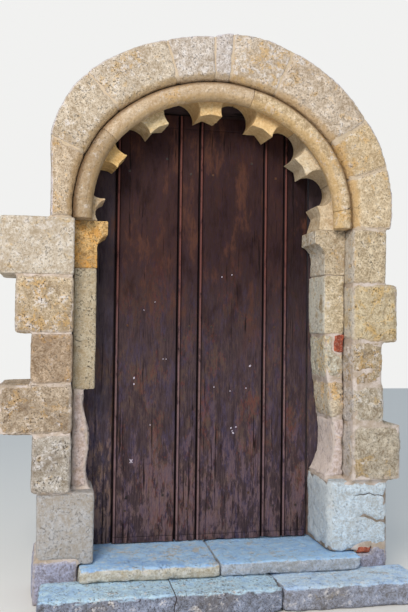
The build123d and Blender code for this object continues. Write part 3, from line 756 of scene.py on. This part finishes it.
timberLimits = {  # upper and low are heights, and so is the mark for the darker tone high up, which is partly painted shadow
    "light": (0.38, 0.62, 1.0), "brown": (0.49, 0.57, 0.75), "cool": (0.50, 0.60, 1.0),
    "red": (0.52, 0.60, 0.5), "darkPaintAndShadow": (1.2, 2.0, 0.85), "sooty": (0.52, 0.66, 0.75),
    "rusty": (0.48, 0.34, 0.75), "worn": (0.34, 0.52, 1.0), "shadow": (0.50, 0.66, 0.6),
    "crest": (0.34, 0.5, 0.7), "upper": (1.0, 1.9, 1.0), "low": (1.25, 0.45, 1.0),
    "bare": (0.55, 0.585, 1.0), "shake": (0.62, 0.65, 1.0), "shakePatches": (0.4, 0.55, 1.0),
}


def timberPaint(name, look, lengthwise, seed, shadowBrightness=1.0):
    paint = Paint(name, timberLimits)
    shift = (seed, seed * 1.3, seed * 0.6)
    painted = "deep" in look

    def strokes(key):  # a cloud drawn out along the grain
        across, along, detail, rough, offset = timberStrokes[key]
        stretch = [across] * 3
        stretch["XYZ".index(lengthwise)] = along
        return paint.cloud(paint.place([part + offset for part in shift], stretch), 1.0, detail, rough, 0.2)

    fibres, grain, blotch, other, broad, spots, shake, wide = (strokes(key) for key in timberStrokes)
    tones = {key: rgb(*value) for key, value in look.items()}
    dark, light, shadow = (tinted(tones["base"], timberTints[key]) for key in ("dark", "light", "shadow"))
    height = paint.height()
    upper = paint.mask(height, "upper")
    low = paint.mask(height, "low") if painted else 0.6
    colour = paint.coat(dark, light, fibres * 0.5 + blotch * 0.5, "light")
    colour = paint.coat(colour, tones["brown"], broad * 0.5 + blotch * 0.5, "brown")
    colour = paint.coat(colour, tones["cool"], other + low * 0.03, "cool", low * 0.35 + 0.45)
    colour = paint.coat(colour, tones["red"], spots * 0.5 + broad * 0.5, "red")
    if painted:  # the upper part is darker and redder: partly the paint's own tone, partly painted shadow from the arch above
        darkPaintAndShadow = tinted(tones["deep"], [shadowBrightness] * 3)
        colour = paint.coat(colour, darkPaintAndShadow, height + (blotch - 0.5) * 1.4, "darkPaintAndShadow")
        colour = paint.coat(colour, tinted(tones["deep"], timberTints["sooty"]), wide, "sooty", upper)
        colour = paint.coat(colour, tinted(tones["brown"], timberTints["rusty"]), wide, "rusty", upper)
    bare = paint.mask(other * 0.45 + blotch * 0.35 + broad * 0.2 + low * 0.07, "bare")
    colour = paint.coat(colour, tones["worn"], fibres, "worn", bare * (low * 0.6 + 0.04))
    colour = paint.coat(colour, shadow, grain, "shadow")
    cracks = paint.mask(shake + low * 0.03, "shake") * paint.mask(broad, "shakePatches")
    colour = paint.mix(colour, tones["crack"], cracks * 0.85)
    # painted highlight: a lighter colour along each bead's crest, redder high up
    if "bead" in look:
        crest = paint.mix(tones["bead"], tinted(tones["bead"], timberTints["crest"]), upper)
        colour = paint.coat(colour, crest, blotch, "crest", paint.stored("bead"))
        # painted shade: dark in the grooves between boards, the quirks and the scribed lines, partly dirt
        colour = paint.mix(colour, tones["crack"], paint.stored("groove"))
    relief = fibres * 0.5 + blotch * 0.35 + grain * 0.2 - cracks * 0.8 - bare * 0.15
    rough = 0.58 + bare * 0.3 if painted else 0.85 + fibres * 0.1
    return paint.finish(colour, rough, relief, 0.75, 0.0028, gloss=0.1)


boards = {
    "count": 5, "overlap": 0.0003, "faceStep": 0.014, "rowHeight": 0.022, "sharp": 40, "seedStep": 4.1,
    "bead": 0.0078, "beadSteps": 14, "offset": 0.0055, "flank": 1.3,  # flank: the bead's foot, in radii
    "quirk": 0.003, "quirkFoot": 0.6, "quirkDepth": 0.005, "arris": 0.0006,
    "groove": 0.018, "grooveWidth": 0.001,
    "chamfer": 0.007, "chamferDepth": 0.015, "chamferBend": (0.7, 0.5),
    "sag": 0.0012, "sagWaves": (9, 1.1), "wear": 0.005, "wearWaves": (30, 5.0, 7.0), "wearFrom": 0.2,
    "foot": 0.010, "footWaves": 14, "footHeight": 0.05, "footDip": 0.4, "proud": 0.0004,
    "scribed": ((0.033, 0.0016), (2.459, 0.0010)),  # lines scratched across: height on the leaf, depth
    # scribeDark is the painted shade in the scribed lines; crestShare is how much of the painted highlight a
    # bead's crest takes
    "scribeHalf": 0.0022, "scribeClear": 0.006, "scribeDark": 0.8, "crestShare": 0.9,
    # how bright each board's painted shadow high up is; board 5, under the cusps, has the darkest
    "shadowBrightness": (1.0, 0.95, 0.80, 0.92, 0.40),
}


def boardOutline(left, right, front, back):  # x, y, and how far each point is on the bead, in a groove
    radius, quirk, chamfer = boards["bead"], boards["quirk"], boards["chamfer"]
    middle = left + boards["offset"] + radius
    points = [(left, front + boards["groove"], 0, 1)]
    points.append((left + boards["grooveWidth"], front + radius * boards["flank"], 0, 1))
    for step in range(boards["beadSteps"] + 1):
        turn = math.pi * (1 - step / boards["beadSteps"])
        crest = math.sin(turn)
        x, y = middle + radius * math.cos(turn), front + radius * (1 - crest)
        points.append((x, y, crest, (1 - crest) ** 2))
    corner = middle + radius + quirk
    points.append((corner - quirk * boards["quirkFoot"], front + boards["quirkDepth"], 0, 0.9))
    points.append((corner, front + boards["arris"], 0, 0.25))
    last = right - chamfer
    across = max(3, round((last - corner) / boards["faceStep"]))
    points += [(corner + (last - corner) * step / across, front, 0, 0) for step in range(1, across)]
    bendX, bendY = boards["chamferBend"]
    points.append((last, front, 0, 0.1))
    points.append((last + chamfer * bendX, front + boards["chamferDepth"] * bendY, 0, 0.7))
    points.append((right, front + boards["chamferDepth"], 0, 1))
    return points + [(right, back, 0, 0), (left, back, 0, 0)]


def boardLevels(tall):  # heights on a board, with the depth of a line scratched there
    rows = round(tall / boards["rowHeight"])
    levels = [(tall * row / rows, 0.0) for row in range(rows + 1)]
    half = boards["scribeHalf"]
    for rise, depth in boards["scribed"]:
        levels = [level for level in levels if abs(level[0] - rise) > boards["scribeClear"]]
        levels += [(rise - half, 0.0), (rise, depth), (rise + half, 0.0)]
    return sorted(levels)


def boardPiece(number):  # one board with its bead, worn along the foot and the bead
    low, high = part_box(f"board_{number}")
    front = low.y
    outline = boardOutline(low.x - boards["overlap"], high.x, front, high.y)
    sagAcross, sagAlong = boards["sagWaves"]
    wearAcross, wearApart, wearAlong = boards["wearWaves"]
    made = bmesh.new()
    beadLayer = made.verts.layers.float.new("bead")
    grooveLayer = made.verts.layers.float.new("groove")
    rings = []
    for rise, scribed in boardLevels(high.z - low.z):
        z = low.z + rise
        nearFoot = math.exp(-rise / boards["footHeight"])
        ring = []
        for x, y, crest, groove in outline:
            isFront = y < front + boards["bead"]
            splinters = max(0.0, noise.noise(Vector((x * boards["footWaves"], 3.0, number))))
            foot = nearFoot * splinters * boards["foot"]
            if isFront:
                dip = noise.noise(Vector((x * sagAcross + number, y * sagAcross, z * sagAlong)))
                wear = noise.noise(Vector((x * wearAcross, number * wearApart, z * wearAlong)))
                worn = max(0.0, wear - boards["wearFrom"]) * crest
                y += boards["sag"] * dip + worn * boards["wear"] + foot * boards["footDip"]
                y += scribed * (1 - groove)
            vertex = made.verts.new((x, max(front - boards["proud"], y), z + (foot if rise == 0 else 0.0)))
            vertex[beadLayer] = crest * boards["crestShare"]
            vertex[grooveLayer] = max(groove, boards["scribeDark"] if scribed and isFront else 0.0)
            ring.append(vertex)
        rings.append(ring)
    for below, above in zip(rings, rings[1:]):
        for spot in range(len(outline)):
            after = (spot + 1) % len(outline)
            made.faces.new((below[spot], below[after], above[after], above[spot]))
    made.faces.new(list(reversed(rings[0])))
    made.faces.new(rings[-1])
    bmesh.ops.recalc_face_normals(made, faces=made.faces)
    mesh = meshFrom(f"leaf_board_{number}", made)
    mesh.shade_smooth()
    mesh.set_sharp_from_angle(angle=math.radians(boards["sharp"]))
    board = addObject(mesh.name, mesh)
    shadowBrightness = boards["shadowBrightness"][number - 1]
    seed = number * boards["seedStep"]
    mesh.materials.append(timberPaint(f"boardPaint_{number}", timber["board"], "Z", seed, shadowBrightness))
    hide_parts(f"board_{number}")
    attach(board, "leaf")


for number in range(1, boards["count"] + 1):
    boardPiece(number)
print("boards:", boards["count"])


specks = {  # x, z and size of splashes of lime on the boards, and of a dark blob of painted shade where a knot hole is
    "lime": (
        (-0.303, 1.622, 0.9), (-0.368, 1.573, 0.8), (-0.421, 1.172, 1.5), (-0.421, 1.136, 1.3),
        (-0.250, 1.284, 0.9), (-0.232, 1.284, 0.8), (-0.322, 0.895, 0.9), (-0.432, 0.686, 1.6),
        (-0.438, 0.694, 1.0), (-0.425, 0.692, 1.0), (-0.437, 0.677, 1.0), (-0.426, 0.678, 1.1),
        (0.103, 1.781, 1.0), (0.165, 1.795, 1.0), (0.284, 1.244, 1.7), (0.260, 1.110, 1.0),
        (0.061, 1.117, 1.0), (0.161, 1.093, 0.9), (0.169, 0.870, 1.4), (0.200, 0.876, 1.3),
        (0.182, 0.840, 1.6), (0.176, 0.853, 1.0),
    ),
    "knot": ((-0.458, 0.471, 2.2), (-0.456, 0.480, 1.6)),
    "radius": 0.0042, "thick": 0.22, "wide": 0.8, "tall": 1.1, "tilt": 1.2, "seed": 4,
    "cloud": (400, 3, 0.7), "limits": {"spots": (0.45, 0.6, 1.0)},
}


def speckTree():  # a small flattened blob on each point
    tree, given, result = newGroup("specks", {
        "Geometry": "Geometry", "Radius": "Float", "Thick": "Float", "Seed": "Int", "Material": "Material",
    })
    blob = addNode(tree, "GeometryNodeMeshIcoSphere", None, {"Subdivisions": 2, "Radius": given["Radius"]})
    size = addNode(tree, "GeometryNodeInputNamedAttribute", {"data_type": "FLOAT"}, {"Name": "size"})
    flat = addNode(tree, "ShaderNodeCombineXYZ", None, {
        "X": specks["wide"], "Y": given["Thick"], "Z": specks["tall"],
    })
    scale = addNode(tree, "ShaderNodeVectorMath", {"operation": "SCALE"}, {
        0: flat.outputs[0], "Scale": size.outputs["Attribute"],
    })
    turn = addNode(tree, "FunctionNodeRandomValue", {"data_type": "FLOAT_VECTOR"}, {
        0: (0, -specks["tilt"], 0), 1: (0, specks["tilt"], 0), "Seed": given["Seed"],
    })
    spread = addNode(tree, "GeometryNodeInstanceOnPoints", None, {
        "Points": given["Geometry"], "Instance": blob.outputs["Mesh"], "Rotation": turn.outputs[0],
        "Scale": scale.outputs[0],
    })
    real = addNode(tree, "GeometryNodeRealizeInstances", None, {"Geometry": spread.outputs["Instances"]})
    dressed = addNode(tree, "GeometryNodeSetMaterial", None, {
        "Geometry": real.outputs["Geometry"], "Material": given["Material"],
    })
    tree.links.new(dressed.outputs["Geometry"], result["Geometry"])
    return tree


def speckPaint(name, colour, shade, rough):
    paint = Paint(name, specks["limits"])
    spots = paint.cloud(paint.place(), *specks["cloud"])
    spotted = paint.coat(rgb(*colour), rgb(*shade), spots, "spots")
    return paint.finish(spotted, rough, spots, 0.3, 0.0005)


speckNodes = speckTree()
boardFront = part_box("board_2")[0].y
speckPaints = {
    "lime": speckPaint("limePaint", (206, 196, 210), (160, 146, 160), 0.9),
    "knot": speckPaint("knotPaint", (22, 14, 16), (34, 22, 22), 0.8),
}
for kind, paint in speckPaints.items():
    points = bpy.data.meshes.new(kind + "_specks")
    points.from_pydata([(x, boardFront, z) for x, z, _ in specks[kind]], [], [])
    storeMeasure(points, "size", np.array([size for _, _, size in specks[kind]]))
    piece = addObject(points.name, points)
    modifier = piece.modifiers.new("specks", "NODES")
    modifier.node_group = speckNodes
    setInputs(modifier, {
        "Radius": specks["radius"], "Thick": specks["thick"], "Seed": specks["seed"], "Material": paint,
    })
    settle(piece)
    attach(piece, "leaf")
print("specks:", len(specks["lime"]) + len(specks["knot"]))


easing = {"width": 0.002, "segments": 2, "sharp": 35}


def softTimber(node, body, paint):  # a copy of a timber with its arrises eased
    piece = mergedCopy("timber_" + node, [node])
    bevel = piece.modifiers.new("arris", "BEVEL")
    bevel.width = easing["width"]
    bevel.segments = easing["segments"]
    bevel.limit_method = "ANGLE"
    settle(piece)
    piece.data.materials.clear()
    piece.data.materials.append(paint)
    piece.data.shade_smooth()
    piece.data.set_sharp_from_angle(angle=math.radians(easing["sharp"]))
    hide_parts(node)
    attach(piece, body)


softTimber("post_left", "frame", timberPaint("postPaint", timber["post"], "Z", 9.0))
softTimber("post_right", "frame", timberPaint("postPaintRight", timber["post"], "Z", 14.0))
softTimber("head", "frame", timberPaint("headPaint", timber["post"], "X", 19.0))
softTimber("ledges", "leaf", timberPaint("ledgePaint", timber["bare"], "X", 23.0))
print("timbers: 4")


iron = {
    "nodes": ("clench_nails", "strap_hinges", "pintles", "bolt", "bolt_staples"),
    "dark": rgb(62, 56, 54), "rust": rgb(112, 72, 48), "scale": rgb(34, 30, 30), "metal": 0.55,
    "patch": (26, 5, 0.68), "grain": (190, 4, 0.7),
    "limits": {"rust": (0.45, 0.66, 1.0), "scale": (0.52, 0.66, 0.7)},
}


def ironPaint():  # old wrought iron, brown with rust
    paint = Paint("ironPaint", iron["limits"])
    here = paint.place()
    patch = paint.cloud(here, *iron["patch"])
    grain = paint.cloud(here, *iron["grain"])
    rusted = paint.mask(patch, "rust")
    colour = paint.mix(iron["dark"], iron["rust"], rusted)
    colour = paint.coat(colour, iron["scale"], grain, "scale")
    relief = patch * 0.5 + grain * 0.5
    return paint.finish(colour, 0.55 + rusted * 0.35, relief, 0.6, 0.0015, metal=iron["metal"])


wroughtIron = ironPaint()
for node in iron["nodes"]:
    cadNodes[node].data.materials.clear()
    cadNodes[node].data.materials.append(wroughtIron)
print("iron:", len(iron["nodes"]), "nodes")


# Floor, light and camera
studio = {
    "floor": (0.84, 0.80, 0.75), "floorHalf": 14, "floorRough": 0.9,
    "sky": (0.76, 0.88, 1.0), "skyStrength": 0.62, "backdrop": (0.88, 0.88, 0.87),
    "key": (-2.6, -5.2, 4.9), "keyAim": (0, 0.1, 1.5), "keySize": 2.4, "keyPower": 350,
    "keyColour": (1.0, 0.94, 0.86),
}
view = {  # where the camera stands, its turns in degrees, lens and sensor in mm
    "place": (-0.900, -4.051, 1.465), "yaw": 11.40, "pitch": 1.753, "roll": 0.70, "lens": 44.24, "sensor": 36,
}

half = studio["floorHalf"]
floorMesh = bpy.data.meshes.new("floor")
corners = [(-half, -half, 0), (half, -half, 0), (half, half, 0), (-half, half, 0)]
floorMesh.from_pydata(corners, [], [(0, 1, 2, 3)])
floorMesh.materials.append(Paint("floorPaint").finish((*studio["floor"], 1), studio["floorRough"]))
floor = addObject("floor", floorMesh)

world = bpy.data.worlds.new("studio")
bpy.context.scene.world = world
world.use_nodes = True
wires = world.node_tree
wires.nodes.clear()
seen = addNode(wires, "ShaderNodeLightPath")
sky = addNode(wires, "ShaderNodeBackground", None, {0: (*studio["sky"], 1), 1: studio["skyStrength"]})
backdrop = addNode(wires, "ShaderNodeBackground", None, {0: (*studio["backdrop"], 1), 1: 1.0})
either = addNode(wires, "ShaderNodeMixShader", None, {
    0: seen.outputs["Is Camera Ray"], 1: sky.outputs[0], 2: backdrop.outputs[0],
})
addNode(wires, "ShaderNodeOutputWorld", None, {0: either.outputs[0]})

keyLight = bpy.data.lights.new("softbox", "AREA")
keyLight.shape = "SQUARE"
keyLight.size = studio["keySize"]
keyLight.energy = studio["keyPower"]
keyLight.color = studio["keyColour"]
key = addObject("softbox", keyLight)
key.location = studio["key"]
key.rotation_euler = (Vector(studio["keyAim"]) - key.location).to_track_quat("-Z", "Y").to_euler()

camera = addObject("camera", bpy.data.cameras.new("camera"))
camera.data.lens = view["lens"]
camera.data.sensor_width = view["sensor"]
yaw, pitch, roll = (math.radians(view[turn]) for turn in ("yaw", "pitch", "roll"))
forward = Vector((math.sin(yaw) * math.cos(pitch), math.cos(yaw) * math.cos(pitch), math.sin(pitch)))
right = Vector((math.cos(yaw), -math.sin(yaw), 0))
up = right.cross(forward)
turnedRight = right * math.cos(roll) + up * math.sin(roll)
turnedUp = up * math.cos(roll) - right * math.sin(roll)
turned = Matrix((turnedRight, turnedUp, -forward)).transposed().to_4x4()
camera.matrix_world = Matrix.Translation(view["place"]) @ turned
bpy.context.scene.camera = camera
bpy.context.scene.view_settings.view_transform = "Standard"
print("studio ready")

triangles = {}
for made in bpy.data.objects:
    if made.type == "MESH":
        triangles[made.name] = sum(len(face.vertices) - 2 for face in made.data.polygons)
largest = max(triangles, key=triangles.get)
print("triangles:", sum(triangles.values()), "largest:", largest, triangles[largest])
